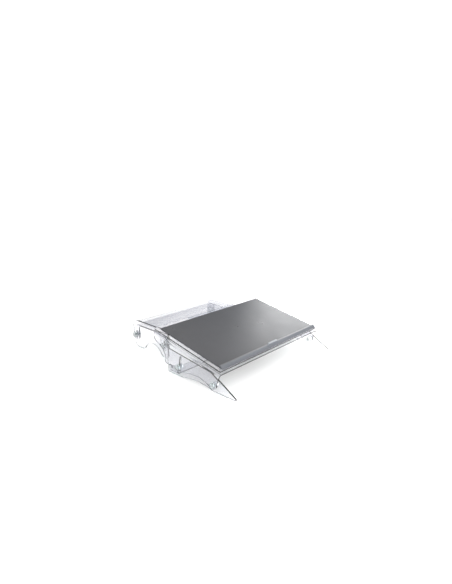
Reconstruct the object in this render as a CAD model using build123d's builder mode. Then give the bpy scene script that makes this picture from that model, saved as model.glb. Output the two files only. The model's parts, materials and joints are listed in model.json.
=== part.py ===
from build123d import *
import os
from math import atan2, cos, degrees, hypot, radians, sin, tan

# A clear acrylic desk stand in two units that stand in line: a sliding writing slope at the
# front and a monitor riser behind it. X is the user's left to right, Y runs away from the
# user and Z is up. The origin is on the desk, under the middle of the stand.

# Driving sizes, in millimetres and degrees
slope_width = 526.0         # over the outside of the two cheeks
deck_length = 320.0         # the slope's deck, measured along the slope
riser_width = 400.0         # over the outside of the riser's legs
riser_depth = 208.0
riser_height = 108.0        # top of the riser at its middle step
sheet = 5.0                 # acrylic of the bent shells and the panels
bend_inner = 4.0            # inside radius of every bend

# Tilt of the slope about the front studs
tilt_rest = 11.2
tilt_step = 4.0
steps_down = 1
steps_up = 3
pivot_height = 26.0         # front studs above the desk
pivot_back = 19.6           # front studs behind the deck's front edge, along the deck
pivot_drop = 45.4           # front studs below the deck's top face, square to it
stud_spacing = 159.0        # front to rear studs, along the deck
stud_fall = 20.2            # rear studs below the front ones, square to the deck

# Outline of the cheeks, measured along the deck and square to it
toe_drop = 14.0             # below the front studs
toe_reach = 11.0            # in front of the front studs
toe_rise = 6.0
toe_bulge_drop = 10.0
toe_bulge_reach = 8.0
arch_start = 19.0           # behind the front studs
arch_end = 67.0
arch_drop = 8.5             # crown of the arch below the front studs
arch_bow = 2.0
heel_front = 18.0           # in front of the rear studs
heel_drop = 18.0            # below the rear studs
heel_lift = 6.0
heel_radius = 10.0
heel_inset = 70.0           # in front of the deck's back end
hollow_start = 21.0         # above the heel
hollow_rise = 37.0
hollow_reach = 12.0
tail_drop = 31.0            # under the deck's back end
tail_reach = 22.0
tail_bulge_drop = 23.0
tail_bulge_reach = 6.6

# Side panels of the slope's base
panel_back = 222.0          # behind the front studs
panel_nose = 87.0           # in front of the front studs
nose_height = 6.0
ramp_angle = 28.5
panel_arch_height = 9.0
front_foot = 97.0
rear_foot = 75.0
panel_corner = 8.0
panel_headroom = 3.4        # from the panel's top to the shell's bend at the lowest step
pad_thickness = 1.5
pad_length = 44.0
cross_sheet_depth = 40.0
cross_sheet_thickness = 4.0
cross_flange = 26.0
cross_screw_inset = 10.0    # from the cross sheet's front and back edges

# Sliding platform
slide_travel = 140.0
platform_sheet_thickness = 4.0
platform_gap = 9.0          # deck to platform sheet, filled by the rails
platform_corner = 5.0
plate_thickness = 2.0
plate_corner = 2.5
plate_chamfer = 0.4
plate_side_margin = 12.5
plate_front_margin = 18.0
plate_back_margin = 15.0
lip_height = 7.5
lip_foot = 1.5
lip_bow = 1.9
lip_rounding = 0.75
tab_width = 47.0
tab_thickness = 3.0
tab_height = 6.0
tab_seat = 4.0
rail_spacing = 400.0
rail_width = 26.0
rail_height = 7.0
rail_floor = 2.2
rail_roof = 1.6
slot_width = 18.0
neck_width = 10.0
rail_end_margin = 12.0
rail_screw_count = 3        # in each rail and each runner
stop_length = 6.0
slide_clearance = 0.3

# Clamp knobs, studs and nuts
stud_radius = 3.0
running_clearance = 0.05
slot_clearance = 0.3
seat_margin = 1.2           # round seats that mark each step of a slot, wider than the studs
stud_chamfer = 0.5
knob_radius = 10.5
knob_thickness = 9.0
knob_rounding = 1.2
knob_flutes = 8
flute_radius = 3.2
flute_offset = 1.8          # centres of the flutes outside the knob's rim
insert_radius = 4.5
insert_depth = 6.0
washer_thickness = 1.0
knob_washer_radius = 7.0
nut_washer_radius = 9.0
nut_radius = 7.5
nut_thickness = 6.0
face_gap = 0.1              # between the faces of neighbouring pieces
side_gap = 0.5              # between a cheek and the panel inside it

# Riser
riser_step = 12.0
riser_steps_down = 1
riser_steps_up = 1
riser_stud_height = 53.0
riser_stud_inset = 18.0
riser_top_clearance = 2.0   # above the base at the lowest step
riser_leg_width = 36.0
riser_leg_corner = 12.0
riser_skirt = 18.0
riser_corner = 25.0
riser_arch_height = 35.0
riser_front_foot = 44.0
riser_rear_foot = 60.0
riser_pad_length = 39.0
unit_gap = 3.0              # riser behind the slope at its furthest swing

# Small screws
cross_screw_radius = 2.0
cross_head_radius = 3.8
cross_nut_radius = 3.8
cross_nut_thickness = 3.2
rail_screw_radius = 1.5
rail_head_radius = 2.7
screw_clearance = 0.1
sink_angle = 90.0
socket_share = 0.6          # socket's corner radius over the shank's radius

bend_outer = bend_inner + sheet
lowest_tilt = tilt_rest - steps_down * tilt_step
cheek_back = (deck_length - pivot_back, pivot_drop - bend_outer)
swing_reach = (cheek_back[0] * cos(radians(lowest_tilt))
               - cheek_back[1] * sin(radians(lowest_tilt)))
stand_depth = panel_nose + swing_reach + unit_gap + riser_depth
pivot_y = panel_nose - stand_depth / 2
riser_front = stand_depth / 2 - riser_depth
riser_middle = riser_front + riser_depth / 2

up_slope = (0, cos(radians(tilt_rest)), sin(radians(tilt_rest)))
off_deck = (0, -sin(radians(tilt_rest)), cos(radians(tilt_rest)))
deck_origin = (
    0,
    pivot_y - pivot_back * up_slope[1] + pivot_drop * off_deck[1],
    pivot_height - pivot_back * up_slope[2] + pivot_drop * off_deck[2],
)

# In the deck's own frame: distance up the slope, then height over the deck's top face
front_stud = (pivot_back, -pivot_drop)
rear_stud = (pivot_back + stud_spacing, -pivot_drop - stud_fall)
stud_reach = hypot(stud_spacing, stud_fall)
stud_angle = tilt_rest - degrees(atan2(stud_fall, stud_spacing))

cheek_inner = slope_width / 2 - sheet
panel_outer = cheek_inner - side_gap
panel_inner = panel_outer - sheet
cross_half = panel_inner - face_gap
sheet_under = platform_gap
sheet_over = platform_gap + platform_sheet_thickness
plate_half = slope_width / 2 - plate_side_margin
rail_length = deck_length - 2 * rail_end_margin
runner_length = rail_length - 2 * stop_length - slide_travel - 2 * slide_clearance
runner_start = rail_end_margin + stop_length + slide_travel + slide_clearance
runner_screw_step = runner_length / rail_screw_count
rail_screw_step = rail_length / rail_screw_count
seat_radius = stud_radius + seat_margin
stem_half = neck_width / 2 - slide_clearance
flange_half = slot_width / 2 - slide_clearance
flange_low = rail_floor + slide_clearance
flange_high = rail_height - rail_roof - slide_clearance


def tilted(x, up=0.0, over=0.0):
    # Point in the part's frame from one in the deck's frame
    return (x,
            deck_origin[1] + up * up_slope[1] + over * off_deck[1],
            deck_origin[2] + up * up_slope[2] + over * off_deck[2])


def deck_plane(over):
    # Parallel to the deck: local x is X and local y runs up the slope
    return Plane(origin=tilted(0, 0, over), x_dir=(1, 0, 0), z_dir=off_deck)


def cross_plane(up):
    # Square across the slope, seen from the front: local y is the height over the deck
    return Plane(origin=tilted(0, up), x_dir=(1, 0, 0), z_dir=tuple(-v for v in up_slope))


def cheek_plane(x):
    # Side view of the slope: local x runs up the slope, local y is height over the deck
    return Plane(origin=tilted(x), x_dir=up_slope, z_dir=(1, 0, 0))


def upright_plane(x, y):
    # Side view in the part's frame: local x is Y and local y is Z
    return Plane(origin=(x, y, 0), x_dir=(0, 1, 0), z_dir=(1, 0, 0))


def clamp_plane(side, y, z, half_width):
    # On the outside face of a cheek or leg, looking out; side is -1 on the left, 1 on the right
    return Plane(origin=(side * half_width, y, z), x_dir=(0, 1, 0), z_dir=(side, 0, 0))


def riser_cross_plane():
    # Square across the riser's front, seen from the front: local y is Z
    return Plane(origin=(0, riser_front, 0), x_dir=(1, 0, 0), z_dir=(0, -1, 0))


def bent_section(half, top, bottom, thickness):
    # Inverted U of sheet with rounded bends
    with BuildSketch() as section:
        with BuildLine():
            FilletPolyline((-half, bottom), (-half, top), (half, top), (half, bottom),
                           radius=bend_inner + thickness)
            Line((half, bottom), (-half, bottom))
        make_face()
        inner = half - thickness
        with BuildLine():
            FilletPolyline((-inner, bottom), (-inner, top - thickness),
                           (inner, top - thickness), (inner, bottom), radius=bend_inner)
            Line((inner, bottom), (-inner, bottom))
        make_face(mode=Mode.SUBTRACT)
    return section.sketch


def countersunk_holes(plane, points, shank, head, depth):
    with Locations(plane):
        with Locations(*points):
            CounterSinkHole(radius=shank + screw_clearance, depth=depth,
                            counter_sink_radius=head + screw_clearance,
                            counter_sink_angle=sink_angle)


def save(part, name):
    part.label = name
    export_step(part, f"parts/{name}.step")


def save_screws(name, places, shank, head, length):
    # Heads flush with each plane, shanks going in behind it, with hexagon sockets
    head_height = (head - shank) / tan(radians(sink_angle / 2))
    with BuildPart() as screws:
        for plane, points in places:
            with Locations(plane):
                with Locations(*points):
                    Cylinder(shank, length, align=(Align.CENTER, Align.CENTER, Align.MAX))
                    Cone(shank, head, head_height, align=(Align.CENTER, Align.CENTER, Align.MAX))
            with BuildSketch(plane):
                with Locations(*points):
                    RegularPolygon(shank * socket_share, 6)
            extrude(amount=-head_height, mode=Mode.SUBTRACT)
    save(screws.part, name)


def save_rings(name, planes, depth, outer, inner, thickness):
    # One ring over each plane, starting at this height
    with BuildPart() as rings:
        for plane in planes:
            with BuildSketch(plane.offset(depth)):
                Circle(outer)
                Circle(inner, mode=Mode.SUBTRACT)
            extrude(amount=thickness)
    save(rings.part, name)


os.makedirs("parts", exist_ok=True)
sides = {"left": -1, "right": 1}

# Side panels of the slope's base, with the ramped nose that reaches out beside the keyboard
panel_slope = tan(radians(lowest_tilt))
panel_rise = (pivot_drop - sheet - bend_inner - panel_headroom) / cos(radians(lowest_tilt))
ramp_slope = tan(radians(ramp_angle))
shoulder = ((pivot_height + panel_rise - nose_height - panel_nose * ramp_slope)
            / (ramp_slope - panel_slope))
shoulder_height = nose_height + (shoulder + panel_nose) * ramp_slope
back_height = pivot_height + panel_rise + panel_back * panel_slope
cross_back = panel_back - (panel_corner - pad_thickness) / 2
cross_front = cross_back - cross_sheet_depth
cross_screw_height = pad_thickness + cross_sheet_thickness + cross_flange / 2
cross_screws_at = [(y, cross_screw_height)
                   for y in (cross_front + cross_screw_inset, cross_back - cross_screw_inset)]

for side_name, side in sides.items():
    with BuildPart() as slope_panel:
        with BuildSketch(upright_plane(side * panel_outer, pivot_y)):
            with BuildLine():
                Polyline((-panel_nose + front_foot, pad_thickness), (-panel_nose, pad_thickness),
                         (-panel_nose, nose_height), (shoulder, shoulder_height),
                         (panel_back, back_height), (panel_back, pad_thickness),
                         (panel_back - rear_foot, pad_thickness))
                ThreePointArc((panel_back - rear_foot, pad_thickness),
                              ((panel_back - rear_foot + front_foot - panel_nose) / 2,
                               pad_thickness + panel_arch_height),
                              (front_foot - panel_nose, pad_thickness))
            make_face()
        extrude(amount=-side * sheet)
        fillet(slope_panel.edges().filter_by(Axis.X).group_by(Axis.Y)[-1].sort_by(Axis.Z)[-1],
               radius=panel_corner)
        fillet(slope_panel.edges().filter_by(Axis.X).group_by(Axis.Y)[0].sort_by(Axis.Z)[-1],
               radius=nose_height / 2)
        with BuildSketch(upright_plane(side * panel_outer, pivot_y)):
            # Arc slot for the rear stud, with a seat at each step of the tilt
            with BuildLine():
                CenterArc((0, pivot_height), stud_reach, stud_angle - steps_down * tilt_step,
                          (steps_down + steps_up) * tilt_step)
            trace(line_width=2 * (stud_radius + slot_clearance))
            with Locations((0, pivot_height)):
                Circle(stud_radius + running_clearance)
                for step in range(-steps_down, steps_up + 1):
                    with PolarLocations(stud_reach, 1, stud_angle + step * tilt_step):
                        Circle(seat_radius)
        extrude(amount=-side * sheet, mode=Mode.SUBTRACT)
        countersunk_holes(clamp_plane(side, pivot_y, 0, panel_outer),
                          [(y, side * z) for y, z in cross_screws_at],
                          cross_screw_radius, cross_head_radius, sheet)
    save(slope_panel.part, f"slope_panel_{side_name}")

# Cross sheet that ties the two panels together behind the keyboard's parking space
with BuildPart() as slope_cross_sheet:
    with BuildSketch(Plane(origin=(0, pivot_y + cross_front, 0), x_dir=(1, 0, 0),
                           z_dir=(0, 1, 0))):
        add(bent_section(cross_half, -pad_thickness, -pad_thickness - cross_flange,
                         cross_sheet_thickness))
    extrude(amount=cross_sheet_depth)
    for side in sides.values():
        with BuildSketch(clamp_plane(side, pivot_y, 0, cross_half)):
            with Locations(*[(y, side * z) for y, z in cross_screws_at]):
                Circle(cross_screw_radius + screw_clearance)
        extrude(amount=-cross_sheet_thickness, mode=Mode.SUBTRACT)
save(slope_cross_sheet.part, "slope_cross_sheet")

save_screws("cross_sheet_screws",
            [(clamp_plane(side, pivot_y, 0, panel_outer),
              [(y, side * z) for y, z in cross_screws_at]) for side in sides.values()],
            cross_screw_radius, cross_head_radius,
            sheet + face_gap + cross_sheet_thickness + cross_nut_thickness)

with BuildPart() as cross_sheet_nuts:
    for side in sides.values():
        nut_face = cross_half - cross_sheet_thickness
        with BuildSketch(clamp_plane(side, pivot_y, 0, nut_face)):
            with Locations(*[(y, side * z) for y, z in cross_screws_at]):
                RegularPolygon(cross_nut_radius, 6)
                Circle(cross_screw_radius + running_clearance, mode=Mode.SUBTRACT)
        extrude(amount=-cross_nut_thickness)
save(cross_sheet_nuts.part, "cross_sheet_nuts")

# Soft strips on the bottom edges of the feet
with BuildPart() as slope_grip_pads:
    with BuildSketch(Plane.XY):
        for side in sides.values():
            for foot in (-panel_nose + front_foot / 2, panel_back - rear_foot / 2):
                with Locations((side * (panel_inner + panel_outer) / 2, pivot_y + foot)):
                    SlotOverall(pad_length, sheet, rotation=90)
    extrude(amount=pad_thickness)
save(slope_grip_pads.part, "slope_grip_pads")

# Shell of the slope: the deck and its two cheeks, bent from one sheet
toe_low = front_stud[1] - toe_drop
toe_tip = (front_stud[0] - toe_reach, front_stud[1] + toe_rise)
toe_middle = (front_stud[0] - toe_bulge_reach, front_stud[1] - toe_bulge_drop)
arch_foot = (front_stud[0] + arch_start, toe_low)
arch_crown = (front_stud[0] + arch_end, front_stud[1] - arch_drop)
heel = (deck_length - heel_inset, rear_stud[1] - heel_drop)
heel_tip = (rear_stud[0] - heel_front, heel[1] + heel_lift)
tail = (deck_length - tail_reach, -tail_drop)
shell_depth = -heel[1]

with BuildPart() as slope_shell:
    with BuildSketch(cross_plane(0)):
        add(bent_section(slope_width / 2, 0, -shell_depth, sheet))
    extrude(amount=-deck_length)
    with BuildSketch(cheek_plane(-slope_width / 2)):
        with BuildLine():
            Polyline(toe_tip, (0, 0), (deck_length, 0), (deck_length, -bend_outer))
            # Rounded tail, then the hollow behind the heel
            ThreePointArc((deck_length, -bend_outer),
                          (deck_length - tail_bulge_reach, -tail_bulge_drop), tail)
            ThreePointArc(tail, (heel[0] + hollow_reach, heel[1] + hollow_rise),
                          (heel[0], heel[1] + hollow_start))
            Line((heel[0], heel[1] + hollow_start), (heel[0], heel[1] + heel_radius))
            RadiusArc((heel[0], heel[1] + heel_radius), (heel[0] - heel_radius, heel[1]),
                      heel_radius)
            Line((heel[0] - heel_radius, heel[1]), heel_tip)
            # Long shallow arch between heel and toe
            ThreePointArc(heel_tip, ((heel_tip[0] + arch_crown[0]) / 2,
                                     (heel_tip[1] + arch_crown[1]) / 2 + arch_bow), arch_crown)
            ThreePointArc(arch_crown, ((arch_crown[0] + arch_foot[0]) / 2,
                                       (arch_crown[1] + arch_foot[1]) / 2 + arch_bow), arch_foot)
            Line(arch_foot, (front_stud[0], toe_low))
            ThreePointArc((front_stud[0], toe_low), toe_middle, toe_tip)
        make_face()
    extrude(amount=slope_width, mode=Mode.INTERSECT)
    with BuildSketch(cheek_plane(-slope_width / 2)):
        with Locations(front_stud, rear_stud):
            Circle(stud_radius + running_clearance)
    extrude(amount=slope_width, mode=Mode.SUBTRACT)
    rail_points = [(side * rail_spacing / 2, rail_end_margin + rail_screw_step * (i + 0.5))
                   for side in sides.values() for i in range(rail_screw_count)]
    with BuildSketch(deck_plane(0)):
        with Locations(*rail_points):
            Circle(rail_screw_radius + screw_clearance)
    extrude(amount=-sheet, mode=Mode.SUBTRACT)
save(slope_shell.part, "slope_shell")

# Slotted rails on the deck, closed at both ends by stops
for side_name, side in sides.items():
    with BuildPart() as rail:
        with BuildSketch(cross_plane(rail_end_margin)):
            with Locations((side * rail_spacing / 2, 0)):
                Rectangle(rail_width, rail_height, align=(Align.CENTER, Align.MIN))
            with Locations((side * rail_spacing / 2, rail_floor)):
                Rectangle(slot_width, rail_height - rail_floor - rail_roof,
                          align=(Align.CENTER, Align.MIN), mode=Mode.SUBTRACT)
                Rectangle(neck_width, rail_height, align=(Align.CENTER, Align.MIN),
                          mode=Mode.SUBTRACT)
        extrude(amount=-rail_length)
        countersunk_holes(deck_plane(rail_floor),
                          [point for point in rail_points if point[0] * side > 0],
                          rail_screw_radius, rail_head_radius, rail_floor)
    save(rail.part, f"rail_{side_name}")

save_screws("rail_screws", [(deck_plane(rail_floor), rail_points)], rail_screw_radius,
            rail_head_radius, rail_floor + sheet)

with BuildPart() as rail_stops:
    for up in (rail_end_margin, rail_end_margin + rail_length - stop_length):
        with BuildSketch(cross_plane(up)):
            for side in sides.values():
                with Locations((side * rail_spacing / 2, rail_floor)):
                    Rectangle(slot_width, rail_height - rail_floor - rail_roof,
                              align=(Align.CENTER, Align.MIN))
                    Rectangle(neck_width, rail_height - rail_floor,
                              align=(Align.CENTER, Align.MIN))
        extrude(amount=-stop_length)
save(rail_stops.part, "rail_stops")

# Sliding platform: clear sheet, writing plate, lip, pull tab and the runners under it
runner_points = [(side * rail_spacing / 2, runner_start + runner_screw_step * (i + 0.5))
                 for side in sides.values() for i in range(rail_screw_count)]
runner_reach = sheet_over - flange_low

with BuildPart() as platform_sheet:
    with BuildSketch(deck_plane(sheet_under)):
        Rectangle(slope_width, deck_length, align=(Align.CENTER, Align.MIN))
        fillet(vertices(), radius=platform_corner)
    extrude(amount=platform_sheet_thickness)
    countersunk_holes(deck_plane(sheet_over), runner_points, rail_screw_radius,
                      rail_head_radius, platform_sheet_thickness)
save(platform_sheet.part, "platform_sheet")

with BuildPart() as writing_plate:
    with BuildSketch(deck_plane(sheet_over)):
        with Locations((0, plate_front_margin)):
            Rectangle(2 * plate_half, deck_length - plate_front_margin - plate_back_margin,
                      align=(Align.CENTER, Align.MIN))
        fillet(vertices(), radius=plate_corner)
    extrude(amount=plate_thickness)
    chamfer(writing_plate.faces().sort_by(Axis.Z)[-1].edges(), length=plate_chamfer)
save(writing_plate.part, "writing_plate")

lip_back = plate_front_margin - face_gap
lip_ridge = lip_back - 2 * tab_thickness
with BuildPart() as front_lip:
    with BuildSketch(cheek_plane(-plate_half)):
        with BuildLine():
            Polyline((lip_ridge, sheet_over + lip_height), (lip_back, sheet_over + lip_height),
                     (lip_back, sheet_over), (lip_foot, sheet_over),
                     (lip_foot, sheet_over + lip_foot))
            ThreePointArc((lip_foot, sheet_over + lip_foot),
                          ((lip_foot + lip_ridge) / 2, sheet_over + lip_foot + lip_bow),
                          (lip_ridge, sheet_over + lip_height))
        make_face()
    extrude(amount=2 * plate_half)
    fillet(front_lip.edges().filter_by(Axis.X).group_by(SortBy.LENGTH)[-1].sort_by(Axis.Z)[-2:],
           radius=lip_rounding)
    with BuildSketch(cross_plane(lip_ridge + tab_thickness / 2)):
        with Locations((0, sheet_over + lip_height - tab_seat)):
            Rectangle(tab_width + 2 * face_gap, tab_seat + tab_height,
                      align=(Align.CENTER, Align.MIN))
    extrude(amount=-tab_thickness - face_gap, mode=Mode.SUBTRACT)
save(front_lip.part, "front_lip")

with BuildPart() as pull_tab:
    with BuildSketch(cross_plane(lip_ridge + tab_thickness / 2 + face_gap / 2)):
        with Locations((0, sheet_over + lip_height - tab_seat)):
            Rectangle(tab_width, tab_seat + tab_height, align=(Align.CENTER, Align.MIN))
        fillet(vertices().group_by(Axis.Z)[-1], radius=tab_thickness)
    extrude(amount=-tab_thickness)
save(pull_tab.part, "pull_tab")

for side_name, side in sides.items():
    with BuildPart() as runner:
        with BuildSketch(cross_plane(runner_start)):
            with Locations((side * rail_spacing / 2, flange_low)):
                Rectangle(2 * flange_half, flange_high - flange_low,
                          align=(Align.CENTER, Align.MIN))
                Rectangle(2 * stem_half, sheet_under - flange_low,
                          align=(Align.CENTER, Align.MIN))
            with Locations((side * rail_spacing / 2, rail_height + slide_clearance)):
                Rectangle(rail_width, sheet_under - rail_height - slide_clearance,
                          align=(Align.CENTER, Align.MIN))
        extrude(amount=-runner_length)
        with BuildSketch(deck_plane(sheet_under)):
            with Locations(*[point for point in runner_points if point[0] * side > 0]):
                Circle(rail_screw_radius + screw_clearance)
        extrude(amount=-(sheet_under - flange_low), mode=Mode.SUBTRACT)
    save(runner.part, f"runner_{side_name}")

save_screws("runner_screws", [(deck_plane(sheet_over), runner_points)], rail_screw_radius,
            rail_head_radius, runner_reach - slide_clearance)

# Riser: an inner base with feet, and an outer top that steps up and down on it
riser_stud_rows = {"front": riser_stud_inset, "rear": riser_depth - riser_stud_inset}
leg_bottom = riser_stud_height - riser_stud_inset
base_half = riser_width / 2 - sheet - side_gap
base_top = (riser_height - sheet - riser_steps_down * riser_step - riser_top_clearance)

with BuildPart() as riser_top_sheet:
    with BuildSketch(riser_cross_plane()):
        add(bent_section(riser_width / 2, riser_height, leg_bottom, sheet))
    extrude(amount=-riser_depth)
    window_top = riser_height - riser_skirt
    with BuildSketch(upright_plane(-riser_width / 2, riser_front)):
        with BuildLine():
            FilletPolyline(
                (0, leg_bottom), (0, riser_height), (riser_depth, riser_height),
                (riser_depth, leg_bottom), (riser_depth - riser_leg_width, leg_bottom),
                (riser_depth - riser_leg_width, window_top), (riser_leg_width, window_top),
                (riser_leg_width, leg_bottom), close=True,
                radius=[riser_leg_corner, riser_corner, riser_corner, *[riser_leg_corner] * 5])
        make_face()
    extrude(amount=riser_width, mode=Mode.INTERSECT)
    # The flat top stops square where the legs' corners start to round off
    with BuildSketch(Plane.XY.offset(riser_height)):
        for end in (0, riser_depth):
            with Locations((0, riser_front + end)):
                Rectangle(riser_width - 2 * bend_outer, 2 * riser_corner)
    extrude(amount=-sheet, mode=Mode.SUBTRACT)
    with BuildSketch(upright_plane(-riser_width / 2, riser_front)):
        with Locations(*[(y, riser_stud_height) for y in riser_stud_rows.values()]):
            Circle(stud_radius + running_clearance)
    extrude(amount=riser_width, mode=Mode.SUBTRACT)
save(riser_top_sheet.part, "riser_top_sheet")

with BuildPart() as riser_base_sheet:
    with BuildSketch(riser_cross_plane()):
        add(bent_section(base_half, base_top, pad_thickness, sheet))
    extrude(amount=-riser_depth)
    foot_end = riser_depth - riser_rear_foot
    with BuildSketch(upright_plane(-riser_width / 2, riser_front)):
        with BuildLine():
            Polyline((foot_end, pad_thickness), (riser_depth, pad_thickness),
                     (riser_depth, base_top), (0, base_top), (0, pad_thickness),
                     (riser_front_foot, pad_thickness))
            ThreePointArc((riser_front_foot, pad_thickness),
                          ((riser_front_foot + foot_end) / 2, pad_thickness + riser_arch_height),
                          (foot_end, pad_thickness))
        make_face()
        fillet(vertices().group_by(Axis.Z)[-1], radius=riser_stud_inset)
    extrude(amount=riser_width, mode=Mode.INTERSECT)
    slot_middle = riser_stud_height + (riser_steps_up - riser_steps_down) * riser_step / 2
    slot_run = (riser_steps_up + riser_steps_down) * riser_step
    with BuildSketch(upright_plane(-riser_width / 2, riser_front)):
        for y in riser_stud_rows.values():
            with Locations((y, slot_middle)):
                SlotCenterToCenter(slot_run, 2 * (stud_radius + slot_clearance), rotation=90)
            with Locations(*[(y, riser_stud_height + step * riser_step)
                             for step in range(-riser_steps_down, riser_steps_up + 1)]):
                Circle(seat_radius)
    extrude(amount=riser_width, mode=Mode.SUBTRACT)
save(riser_base_sheet.part, "riser_base_sheet")

with BuildPart() as riser_grip_pads:
    with BuildSketch(Plane.XY):
        for side in sides.values():
            for y in (riser_front_foot / 2, riser_depth - riser_rear_foot / 2):
                with Locations((side * (base_half - sheet / 2), riser_front + y)):
                    SlotOverall(riser_pad_length, sheet, rotation=90)
    extrude(amount=pad_thickness)
save(riser_grip_pads.part, "riser_grip_pads")

# Clamps: a knob with its stud outside each cheek or leg, a nut and washer inside
inner_face = -(2 * sheet + side_gap + face_gap)
stud_end = inner_face - washer_thickness - nut_thickness - face_gap
knob_back = washer_thickness + 2 * face_gap


def stud_rows(unit):
    # Y and Z of each row of studs, and the half width of the faces that they sit on
    if unit == "riser":
        return {name: (riser_front + y, riser_stud_height)
                for name, y in riser_stud_rows.items()}, riser_width / 2
    rows = {"front": tilted(0, *front_stud), "rear": tilted(0, *rear_stud)}
    return {name: point[1:] for name, point in rows.items()}, slope_width / 2


for unit in ("slope", "riser"):
    rows, half_width = stud_rows(unit)
    clamps = {f"{row}_{side_name}": clamp_plane(side, y, z, half_width)
              for row, (y, z) in rows.items() for side_name, side in sides.items()}

    for name, plane in clamps.items():
        with BuildPart() as knob:
            with BuildSketch(plane.offset(knob_back)):
                Circle(knob_radius)
                with PolarLocations(knob_radius + flute_offset, knob_flutes):
                    Circle(flute_radius, mode=Mode.SUBTRACT)
            extrude(amount=knob_thickness)
            fillet(knob.faces().sort_by(Axis.X, reverse=plane.z_dir.X < 0)[-1].edges(),
                   radius=knob_rounding)
            with BuildSketch(plane.offset(knob_back)):
                Circle(insert_radius + running_clearance)
            extrude(amount=insert_depth + face_gap, mode=Mode.SUBTRACT)
        save(knob.part, f"{unit}_knob_{name}")

        with BuildPart() as stud:
            with BuildSketch(plane.offset(knob_back)):
                Circle(insert_radius)
            extrude(amount=insert_depth)
            with BuildSketch(plane.offset(knob_back)):
                Circle(stud_radius)
            extrude(amount=stud_end - knob_back)
            chamfer(stud.edges().sort_by(Axis.X, reverse=plane.z_dir.X > 0)[-1],
                    length=stud_chamfer)
        save(stud.part, f"{unit}_stud_{name}")

    planes = list(clamps.values())
    save_rings(f"{unit}_knob_washers", planes, face_gap, knob_washer_radius,
               stud_radius + screw_clearance, washer_thickness)
    save_rings(f"{unit}_nut_washers", planes, inner_face - washer_thickness,
               nut_washer_radius, stud_radius + screw_clearance, washer_thickness)
    save_rings(f"{unit}_clamp_nuts", planes, inner_face - washer_thickness - nut_thickness,
               nut_radius, stud_radius + running_clearance, nut_thickness)
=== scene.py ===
import json
import math

import bmesh
import bpy
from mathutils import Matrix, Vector


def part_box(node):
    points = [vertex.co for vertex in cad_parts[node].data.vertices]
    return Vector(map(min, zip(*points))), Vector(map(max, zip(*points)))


# Clear acrylic writing slope with a satin grey plate, and the monitor riser behind it.
# Everything is in metres. X runs left to right for the user, Y away from the user, Z up.

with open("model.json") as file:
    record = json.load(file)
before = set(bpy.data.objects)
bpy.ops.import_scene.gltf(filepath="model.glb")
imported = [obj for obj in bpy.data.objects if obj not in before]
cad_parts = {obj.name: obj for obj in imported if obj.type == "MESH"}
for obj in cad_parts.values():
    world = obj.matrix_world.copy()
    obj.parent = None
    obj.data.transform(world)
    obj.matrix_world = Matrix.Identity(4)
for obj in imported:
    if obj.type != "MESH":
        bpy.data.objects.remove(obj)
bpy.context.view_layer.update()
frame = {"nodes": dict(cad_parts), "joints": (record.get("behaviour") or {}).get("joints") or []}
nodes = frame["nodes"]
scene = bpy.context.scene
mm = 0.001


def linear(hexCode):
    # sRGB hex to the linear values that the sockets take
    parts = [int(hexCode[i:i + 2], 16) / 255 for i in (1, 3, 5)]
    return [p / 12.92 if p <= 0.04045 else ((p + 0.055) / 1.055) ** 2.4 for p in parts] + [1.0]


def add(tree, kind, settings=(), links=()):
    # one node, with its settings (attributes or sockets) and the links into it
    node = tree.nodes.new("ShaderNode" + kind)
    for key, value in dict(settings).items():
        if isinstance(key, int) or key in node.inputs:
            node.inputs[key].default_value = value
        else:
            setattr(node, key, value)
    for key, socket in dict(links).items():
        tree.links.new(socket, node.inputs[key])
    return node


def startMaterial(name):
    material = bpy.data.materials.new(name)
    material.use_nodes = True
    material.node_tree.nodes.clear()
    tree = material.node_tree
    coords = add(tree, "TexCoord")
    return material, tree, coords


def dress(material, *names):
    for name in names:
        slots = nodes[name].material_slots
        if not slots:
            nodes[name].data.materials.append(material)
        for slot in slots:
            slot.link = "OBJECT"
            slot.material = material


# Cast clear acrylic sheet, laser cut and bent over a hot wire. Nearly colourless through its
# thickness and a cool grey along it. Its cut edges carry painted shade: a dark tint that draws the dark
# outlines which light bent inside the sheet makes.
acrylic = {
    "tint": "#f4f4f7",
    "ior": 1.49,
    "faceRoughness": 0.015,
    "smudgeRoughness": 0.05,
    "smudgeSize": 38.0,        # mm, wiping marks
    "smudgeFrom": 0.45,        # share of the noise where the marks begin and where they are full
    "smudgeTo": 0.75,
    "waveSize": 70.0,          # mm, the slow ripple of a cast sheet
    "waveDepth": 0.12,         # bump strength, as scratchDepth is
    "waveHeight": 0.5,         # mm
    "scratchSize": 1.6,        # mm, hairlines drawn about ten times too wide so that they show
    "scratchDepth": 0.02,
    "scratchHeight": 0.05,     # mm
    "depthTint": "#85868f",    # what a long way through the sheet leaves
    "depthDensity": 8.0,       # per metre
    "shadowTint": "#f4f6f6",
}


def turnedTo(tree, coords, direction, limit):
    # 1 where a face looks along the direction, either way, nearly enough
    turned = add(tree, "VectorMath", {"operation": "DOT_PRODUCT", 1: direction},
                 {0: coords.outputs["Normal"]})
    share = add(tree, "Math", {"operation": "ABSOLUTE"}, {0: turned.outputs["Value"]})
    return add(tree, "Math", {"operation": "GREATER_THAN", 1: limit}, {0: share.outputs[0]}).outputs[0]


faceLimit = 0.5                # how nearly a face looks along its direction, 1 being exactly
endLimit = 0.35                # the same for the cut ends of a bent sheet


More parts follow.
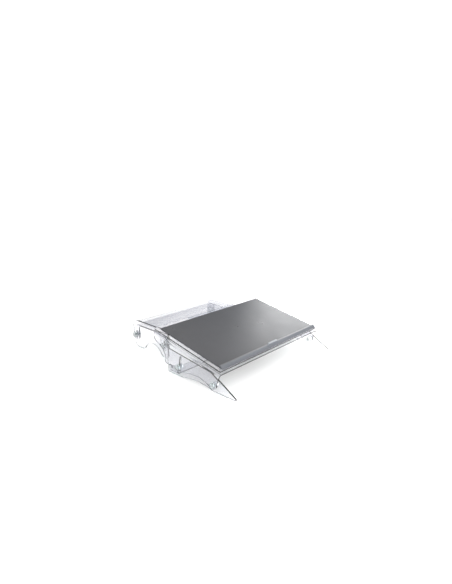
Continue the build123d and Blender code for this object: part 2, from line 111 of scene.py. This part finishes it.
def cutEdges(tree, coords, faces):
    # 1 on the edges that the laser cut, where the painted edge shade goes, and 0 on the sheet's own faces,
    # told by which way they look
    if "flat" in faces:
        flat = turnedTo(tree, coords, faces["flat"], faceLimit)
        return add(tree, "Math", {"operation": "SUBTRACT", 0: 1.0}, {1: flat}).outputs[0]
    # under a bent sheet's flat top, only edges look up, down, forward or back
    depth = add(tree, "VectorMath", {"operation": "DOT_PRODUCT", 1: faces["up"]},
                {0: coords.outputs["Object"]})
    hanging = add(tree, "Math", {"operation": "LESS_THAN", 1: faces["topUnderside"]},
                  {0: depth.outputs["Value"]})
    upright = turnedTo(tree, coords, (1, 0, 0), faceLimit)
    level = add(tree, "Math", {"operation": "SUBTRACT", "use_clamp": True},
                {0: hanging.outputs[0], 1: upright})
    ends = turnedTo(tree, coords, faces["ends"], endLimit)
    return add(tree, "Math", {"operation": "MAXIMUM"}, {0: ends, 1: level.outputs[0]}).outputs[0]


def clearSheet(name, look, faces=None):
    material, tree, coords = startMaterial(name)
    smudge = add(tree, "TexNoise", {"Scale": 1 / (look["smudgeSize"] * mm), "Detail": 4.0},
                 {"Vector": coords.outputs["Object"]})
    rough = add(tree, "MapRange", {"From Min": look["smudgeFrom"], "From Max": look["smudgeTo"],
                                   "To Min": look["faceRoughness"], "To Max": look["smudgeRoughness"]},
                {"Value": smudge.outputs["Fac"]})
    wave = add(tree, "TexNoise", {"Scale": 1 / (look["waveSize"] * mm), "Detail": 1.0},
               {"Vector": coords.outputs["Object"]})
    scratch = add(tree, "TexNoise", {"Scale": 1 / (look["scratchSize"] * mm), "Detail": 2.0},
                  {"Vector": coords.outputs["Object"]})
    ripple = add(tree, "Bump", {"Strength": look["waveDepth"], "Distance": look["waveHeight"] * mm},
                 {"Height": wave.outputs["Fac"]})
    hairline = add(tree, "Bump",
                   {"Strength": look["scratchDepth"], "Distance": look["scratchHeight"] * mm},
                   {"Height": scratch.outputs["Fac"], "Normal": ripple.outputs["Normal"]})
    glass = add(tree, "BsdfPrincipled", {"Base Color": linear(look["tint"]), "IOR": look["ior"],
                                         "Transmission Weight": 1.0},
                {"Roughness": rough.outputs["Result"], "Normal": hairline.outputs["Normal"]})
    if faces:
        # painted shade: the cut edges take a dark tint in place of the dark lines that light draws along
        # them
        paintedEdges = add(tree, "Mix", {"data_type": "RGBA", 6: linear(look["tint"]),
                                  7: linear(faces["paintedEdgeShade"])}, {0: cutEdges(tree, coords, faces)})
        tree.links.new(paintedEdges.outputs[2], glass.inputs["Base Color"])
    # lamps shine through it, so that it leaves a light shadow
    passing = add(tree, "BsdfTransparent", {"Color": linear(look["shadowTint"])})
    path = add(tree, "LightPath")
    surface = add(tree, "MixShader", {}, {0: path.outputs["Is Shadow Ray"], 1: glass.outputs["BSDF"],
                                          2: passing.outputs["BSDF"]})
    depth = add(tree, "VolumeAbsorption", {"Color": linear(look["depthTint"]),
                                           "Density": look["depthDensity"]})
    add(tree, "OutputMaterial", {}, {"Surface": surface.outputs["Shader"],
                                     "Volume": depth.outputs["Volume"]})
    return material


# Which way the faces of each sheet look: a flat one's two faces, or a bent one's cut ends and
# the height, measured along up, that its flat top lies over
deckLow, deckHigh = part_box("writing_plate")
upSlope = Vector((0, deckHigh[1] - deckLow[1], deckHigh[2] - deckLow[2])).normalized()
offDeck = Vector((0, -upSlope.z, upSlope.y))
underPlate = 25 * mm           # from the writing plate's underside to below the deck's bends
underRiser = 30 * mm           # from the top of a riser sheet to below its bends
noTop = 1000 * mm              # far past a sheet that is bent upwards, so only its ends count
deckUnderside = offDeck.dot(Vector((0, *deckLow[1:]))) - underPlate


def bentFaces(node, paintedEdgeShade, reach):
    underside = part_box(node)[1][2] - reach
    return {"ends": (0, 1, 0), "up": (0, 0, 1), "topUnderside": underside, "paintedEdgeShade": paintedEdgeShade}


# Each sheet's material, with painted shade on its cut edges, the slope's shell outlined darkest
sheets = {
    "shellAcrylic": ({"ends": tuple(upSlope), "up": tuple(offDeck), "topUnderside": deckUnderside,
                      "paintedEdgeShade": "#060608"}, ["slope_shell"]),
    "platformAcrylic": ({"flat": tuple(offDeck), "paintedEdgeShade": "#33363b"}, ["platform_sheet"]),
    "sidePanelAcrylic": ({"flat": (1, 0, 0), "paintedEdgeShade": "#8d9099"},
                         ["slope_panel_left", "slope_panel_right"]),
    "crossSheetAcrylic": (bentFaces("slope_cross_sheet", "#6c7078", noTop), ["slope_cross_sheet"]),
    "riserTopAcrylic": (bentFaces("riser_top_sheet", "#777b82", underRiser), ["riser_top_sheet"]),
    "riserBaseAcrylic": (bentFaces("riser_base_sheet", "#777b82", underRiser), ["riser_base_sheet"]),
}
for name, (faces, pieces) in sheets.items():
    dress(clearSheet(name, acrylic, faces), *pieces)

# Knobs moulded in clear acrylic with a breath of teal, so that the steel inside shows through
knobLook = dict(acrylic, tint="#fdffff", depthTint="#93b6b8", depthDensity=9.0, smudgeSize=6.0,
                waveSize=9.0, waveDepth=0.2, shadowTint="#e6eeee", faceRoughness=0.15, smudgeRoughness=0.25)
mouldedClearAcrylic = clearSheet("mouldedClearAcrylic", knobLook)
knobs = [f"{unit}_knob_{row}_{side}" for unit in ("slope", "riser") for row in ("front", "rear")
         for side in ("left", "right")]
dress(mouldedClearAcrylic, *knobs)
print("clear pieces done")

# Writing plate: rigid PVC, pressed with a fine satin grain that spreads reflections into a sheen
plateLook = {
    "colour": "#22242a",
    "lighter": "#292b31",
    "mottleSize": 90.0,        # mm, slow change in shade
    "grainSize": 0.9,          # mm, the real 0.15 mm grain drawn coarser so that it shows
    "grainDepth": 0.15,
    "grainHeight": 0.1,        # mm
    "roughness": 0.34,
    "worn": 0.27,
    "wearSize": 55.0,          # mm, where hands and paper have polished it
    "wearFrom": 0.35,          # share of the noise where the wear begins and where it is full
    "wearTo": 0.7,
    "shine": 0.24,             # specular level
}


def satinPlastic(name, look):
    material, tree, coords = startMaterial(name)
    mottle = add(tree, "TexNoise", {"Scale": 1 / (look["mottleSize"] * mm), "Detail": 3.0},
                 {"Vector": coords.outputs["Object"]})
    colour = add(tree, "Mix", {"data_type": "RGBA", 6: linear(look["colour"]), 7: linear(look["lighter"])},
                 {0: mottle.outputs["Fac"]})
    wear = add(tree, "TexNoise", {"Scale": 1 / (look["wearSize"] * mm), "Detail": 5.0, "Roughness": 0.6},
               {"Vector": coords.outputs["Object"]})
    rough = add(tree, "MapRange", {"From Min": look["wearFrom"], "From Max": look["wearTo"],
                                   "To Min": look["roughness"], "To Max": look["worn"]},
                {"Value": wear.outputs["Fac"]})
    grain = add(tree, "TexNoise", {"Scale": 1 / (look["grainSize"] * mm), "Detail": 2.0},
                {"Vector": coords.outputs["Object"]})
    bump = add(tree, "Bump", {"Strength": look["grainDepth"], "Distance": look["grainHeight"] * mm},
               {"Height": grain.outputs["Fac"]})
    skin = add(tree, "BsdfPrincipled", {"IOR": look.get("ior", 1.5), "Specular IOR Level": look["shine"]},
               {"Base Color": colour.outputs[2], "Roughness": rough.outputs["Result"],
                "Normal": bump.outputs["Normal"]})
    add(tree, "OutputMaterial", {}, {"Surface": skin.outputs["BSDF"]})
    return material


satinPvc = satinPlastic("satinPvc", plateLook)
dress(satinPvc, "writing_plate")

# Front lip: extruded PVC in dark grey, a little glossier where hands rub it
lipLook = dict(plateLook, colour="#4a4c50", lighter="#55575b", roughness=0.38, worn=0.28,
               grainSize=1.2, grainDepth=0.12, wearSize=40.0)
extrudedPvc = satinPlastic("extrudedPvc", lipLook)
dress(extrudedPvc, "front_lip")

# Pull tab: moulded ABS in a lighter grey, polished in places by fingers
tabLook = dict(plateLook, colour="#6c6f73", lighter="#76797d", roughness=0.42, worn=0.33, wearSize=14.0,
               mottleSize=20.0)
mouldedAbsTab = satinPlastic("mouldedAbsTab", tabLook)
dress(mouldedAbsTab, "pull_tab")

# Natural acetal runners, slightly waxy and off-white
acetalLook = dict(plateLook, colour="#e2e1dc", lighter="#ecebe7", roughness=0.4, worn=0.3, mottleSize=25.0,
                  grainSize=0.8, grainDepth=0.08, ior=1.48)
naturalAcetal = satinPlastic("naturalAcetal", acetalLook)
dress(naturalAcetal, "runner_left", "runner_right")

# Black nylon rail stops, moulded, with a soft bloom
nylonLook = dict(plateLook, colour="#1c1e20", lighter="#26282b", roughness=0.45, worn=0.32, mottleSize=8.0,
                 grainSize=0.7, wearSize=6.0, ior=1.53)
mouldedNylon = satinPlastic("mouldedNylon", nylonLook)
dress(mouldedNylon, "rail_stops")

# Washers and nuts in natural nylon: milky off-white with a waxy shine
milkyLook = dict(plateLook, colour="#d9dddd", lighter="#e6e9e9", roughness=0.38, worn=0.3, mottleSize=9.0,
                 grainSize=0.7, grainDepth=0.06, wearSize=5.0, ior=1.53, shine=0.5)
naturalNylon = satinPlastic("naturalNylon", milkyLook)
dress(naturalNylon, *[f"{unit}_{kind}" for unit in ("slope", "riser")
                      for kind in ("knob_washers", "nut_washers", "clamp_nuts")])

# Grip pads in soft silicone, translucent and dull
siliconeLook = dict(acrylic, tint="#e6eae9", faceRoughness=0.5, smudgeRoughness=0.6, ior=1.41,
                    smudgeSize=5.0, waveDepth=0.05, depthTint="#cfdad8", depthDensity=60.0)
clearSilicone = clearSheet("clearSilicone", siliconeLook)
dress(clearSilicone, "slope_grip_pads", "riser_grip_pads")
print("plastics done")


def metal(name, look):
    material, tree, coords = startMaterial(name)
    stretch = add(tree, "Mapping", {"Scale": look["grainScale"]}, {"Vector": coords.outputs["Object"]})
    grain = add(tree, "TexNoise", {"Scale": 1.0, "Detail": 3.0}, {"Vector": stretch.outputs["Vector"]})
    colour = add(tree, "Mix", {"data_type": "RGBA", 6: linear(look["colour"]), 7: linear(look["lighter"])},
                 {0: grain.outputs["Fac"]})
    rough = add(tree, "MapRange", {"From Min": look["grainFrom"], "From Max": look["grainTo"],
                                   "To Min": look["roughness"], "To Max": look["rougher"]},
                {"Value": grain.outputs["Fac"]})
    bump = add(tree, "Bump", {"Strength": look["grainDepth"], "Distance": look["grainHeight"] * mm},
               {"Height": grain.outputs["Fac"]})
    skin = add(tree, "BsdfPrincipled", {"Metallic": 1.0},
               {"Base Color": colour.outputs[2], "Roughness": rough.outputs["Result"],
                "Normal": bump.outputs["Normal"]})
    add(tree, "OutputMaterial", {}, {"Surface": skin.outputs["BSDF"]})
    return material


# Rails: satin anodised aluminium with the short fine streaks that the die leaves
railLook = {
    "colour": "#b9babd",
    "lighter": "#c8c9cb",
    "roughness": 0.3,
    "rougher": 0.42,
    "grainScale": (1 / (0.6 * mm), 1 / (40 * mm), 1 / (0.6 * mm)),
    "grainFrom": 0.3,          # share of the noise between the smoothest and the roughest
    "grainTo": 0.7,
    "grainDepth": 0.2,
    "grainHeight": 0.05,       # mm
}
anodisedAluminium = metal("anodisedAluminium", railLook)
dress(anodisedAluminium, "rail_left", "rail_right")

# Studs, screws and small nuts: zinc plated steel, cool grey and slightly cloudy
steelLook = dict(railLook, colour="#b4b7ba", lighter="#c6c8ca", roughness=0.22, rougher=0.4, grainDepth=0.12,
                 grainScale=(1 / (1.2 * mm),) * 3)
zincPlatedSteel = metal("zincPlatedSteel", steelLook)
studs = [name.replace("_knob_", "_stud_") for name in knobs]
dress(zincPlatedSteel, "rail_screws", "runner_screws", "cross_sheet_screws", "cross_sheet_nuts", *studs)
print("metals done")

# Matt white paper laid flat under the stand
floorLook = {
    "colour": "#f6f6f5",
    "roughness": 0.85,
    "shine": 0.2,              # specular level
    "fibreSize": 4.0,          # mm, far coarser than real fibres so that it shows
    "fibreDepth": 0.05,
    "fibreHeight": 0.1,        # mm
    "radius": 7.0,             # metres
    "sides": 128,
}
sweep = bpy.data.meshes.new("paperSweep")
shape = bmesh.new()
bmesh.ops.create_circle(shape, cap_ends=True, radius=floorLook["radius"], segments=floorLook["sides"])
shape.to_mesh(sweep)
shape.free()
floor = bpy.data.objects.new("paperSweep", sweep)
scene.collection.objects.link(floor)
paper, tree, coords = startMaterial("mattPaper")
fibre = add(tree, "TexNoise", {"Scale": 1 / (floorLook["fibreSize"] * mm), "Detail": 4.0},
            {"Vector": coords.outputs["Object"]})
bump = add(tree, "Bump", {"Strength": floorLook["fibreDepth"], "Distance": floorLook["fibreHeight"] * mm},
           {"Height": fibre.outputs["Fac"]})
skin = add(tree, "BsdfPrincipled", {"Base Color": linear(floorLook["colour"]),
                                    "Roughness": floorLook["roughness"],
                                    "Specular IOR Level": floorLook["shine"]},
           {"Normal": bump.outputs["Normal"]})
add(tree, "OutputMaterial", {}, {"Surface": skin.outputs["BSDF"]})
sweep.materials.append(paper)

# Room light: an even white dome for everything matt, and a darker studio for what mirrors it,
# bright to the right of the stand and dim behind it, overhead and on the side that the user sits.
# Each from and to is the cosine of the angle to a direction, 1 being straight at it.
roomLook = {
    "dome": "#ffffff",
    "domeStrength": 1.15,
    "dim": "#565b64",
    "bright": "#f2f6fc",
    "brightDirection": (0.94, -0.34, 0.0),
    "brightFrom": 0.12,
    "brightTo": 0.66,
    "overhead": "#7a7e84",
    "overheadFrom": 0.25,
    "overheadTo": 0.85,
    "userSide": "#3c3f43",
    "userDirection": (-0.75, -0.66, 0.0),
    "userFrom": -0.1,
    "userTo": 0.7,
}
world = bpy.data.worlds.new("softStudio")
scene.world = world
world.use_nodes = True
tree = world.node_tree
tree.nodes.clear()
coords = add(tree, "TexCoord")
height = add(tree, "SeparateXYZ", {}, {0: coords.outputs["Generated"]})
up = add(tree, "MapRange", {"From Min": roomLook["overheadFrom"], "From Max": roomLook["overheadTo"]},
         {"Value": height.outputs["Z"]})
toRight = add(tree, "VectorMath", {"operation": "DOT_PRODUCT", 1: roomLook["brightDirection"]},
              {0: coords.outputs["Generated"]})
rightness = add(tree, "MapRange", {"From Min": roomLook["brightFrom"], "From Max": roomLook["brightTo"],
                                   "interpolation_type": "SMOOTHSTEP"}, {"Value": toRight.outputs["Value"]})
around = add(tree, "Mix", {"data_type": "RGBA", 6: linear(roomLook["dim"]), 7: linear(roomLook["bright"])},
             {0: rightness.outputs["Result"]})
ceiling = add(tree, "Mix", {"data_type": "RGBA", 7: linear(roomLook["overhead"])},
              {0: up.outputs["Result"], 6: around.outputs[2]})
facing = add(tree, "VectorMath", {"operation": "DOT_PRODUCT", 1: roomLook["userDirection"]},
             {0: coords.outputs["Generated"]})
behindUser = add(tree, "MapRange", {"From Min": roomLook["userFrom"], "From Max": roomLook["userTo"]},
                 {"Value": facing.outputs["Value"]})
room = add(tree, "Mix", {"data_type": "RGBA", 7: linear(roomLook["userSide"])},
           {0: behindUser.outputs["Result"], 6: ceiling.outputs[2]})
# the darker studio shows to light that was only mirrored or bent on its way
path = add(tree, "LightPath")
bent = add(tree, "Math", {"operation": "MAXIMUM"}, {0: path.outputs["Is Glossy Ray"],
                                                   1: path.outputs["Is Transmission Ray"]})
unscattered = add(tree, "Math", {"operation": "LESS_THAN", 1: 0.5}, {0: path.outputs["Diffuse Depth"]})
mirrored = add(tree, "Math", {"operation": "MULTIPLY"}, {0: bent.outputs[0], 1: unscattered.outputs[0]})
shown = add(tree, "Mix", {"data_type": "RGBA", 6: linear(roomLook["dome"])},
            {0: mirrored.outputs[0], 7: room.outputs[2]})
glow = add(tree, "Background", {"Strength": roomLook["domeStrength"]}, {"Color": shown.outputs[2]})
add(tree, "OutputWorld", {}, {"Surface": glow.outputs["Background"]})

# Softboxes: where each stands, its size in metres and its power in watts
aim = Vector((0, 0, 50 * mm))  # near the middle of the stand
softboxes = {
    "keyAboveRight": {"at": (1.3, 0.9, 2.3), "size": (1.8, 1.8), "power": 24.0, "colour": "#fffaf3"},
    "fillFront": {"at": (-1.6, -1.6, 1.6), "size": (1.6, 1.6), "power": 8.0, "colour": "#f3f8ff"},
    "sheenRight": {"at": (2.5, 0.75, 1.35), "size": (1.3, 0.9), "power": 30.0, "colour": "#ffffff"},
    "lowFront": {"at": (0.45, -1.7, 0.3), "size": (1.6, 0.4), "power": 62.0, "colour": "#ffffff"},
}
for name, look in softboxes.items():
    light = bpy.data.lights.new(name, "AREA")
    light.shape = "RECTANGLE"
    light.size, light.size_y = look["size"]
    light.energy = look["power"]
    light.color = linear(look["colour"])[:3]
    lamp = bpy.data.objects.new(name, light)
    lamp.location = look["at"]
    lamp.rotation_euler = (aim - lamp.location).to_track_quat("-Z", "Y").to_euler()
    lamp.visible_camera = False
    lamp.visible_transmission = False
    scene.collection.objects.link(lamp)
print("studio done")

# Camera: metres from the pivot that the slope tilts about, turn and dip in degrees, lens and
# sensor in mm, shift as a share of the sensor, nearest and furthest in metres
view = {"left": 1.0772, "toUser": 0.8613, "above": 0.6039, "turn": 48.76, "down": 14.84, "lens": 26.42,
        "sensor": 36.0, "shift": -0.0411, "nearest": 0.05, "furthest": 50.0}
pivot = next(joint["pos_m"] for joint in frame["joints"] if joint["name"] == "slope_tilt")
camera = bpy.data.objects.new("camera", bpy.data.cameras.new("camera"))
camera.data.lens = view["lens"]
camera.data.sensor_width = view["sensor"]
camera.data.shift_x = view["shift"]
camera.data.clip_start = view["nearest"]
camera.data.clip_end = view["furthest"]
camera.location = (-view["left"], pivot[1] - view["toUser"], pivot[2] + view["above"])
camera.rotation_euler = (math.radians(90 - view["down"]), 0, math.radians(-view["turn"]))
scene.collection.objects.link(camera)
scene.camera = camera
scene.view_settings.view_transform = "Standard"

print("scene ready")
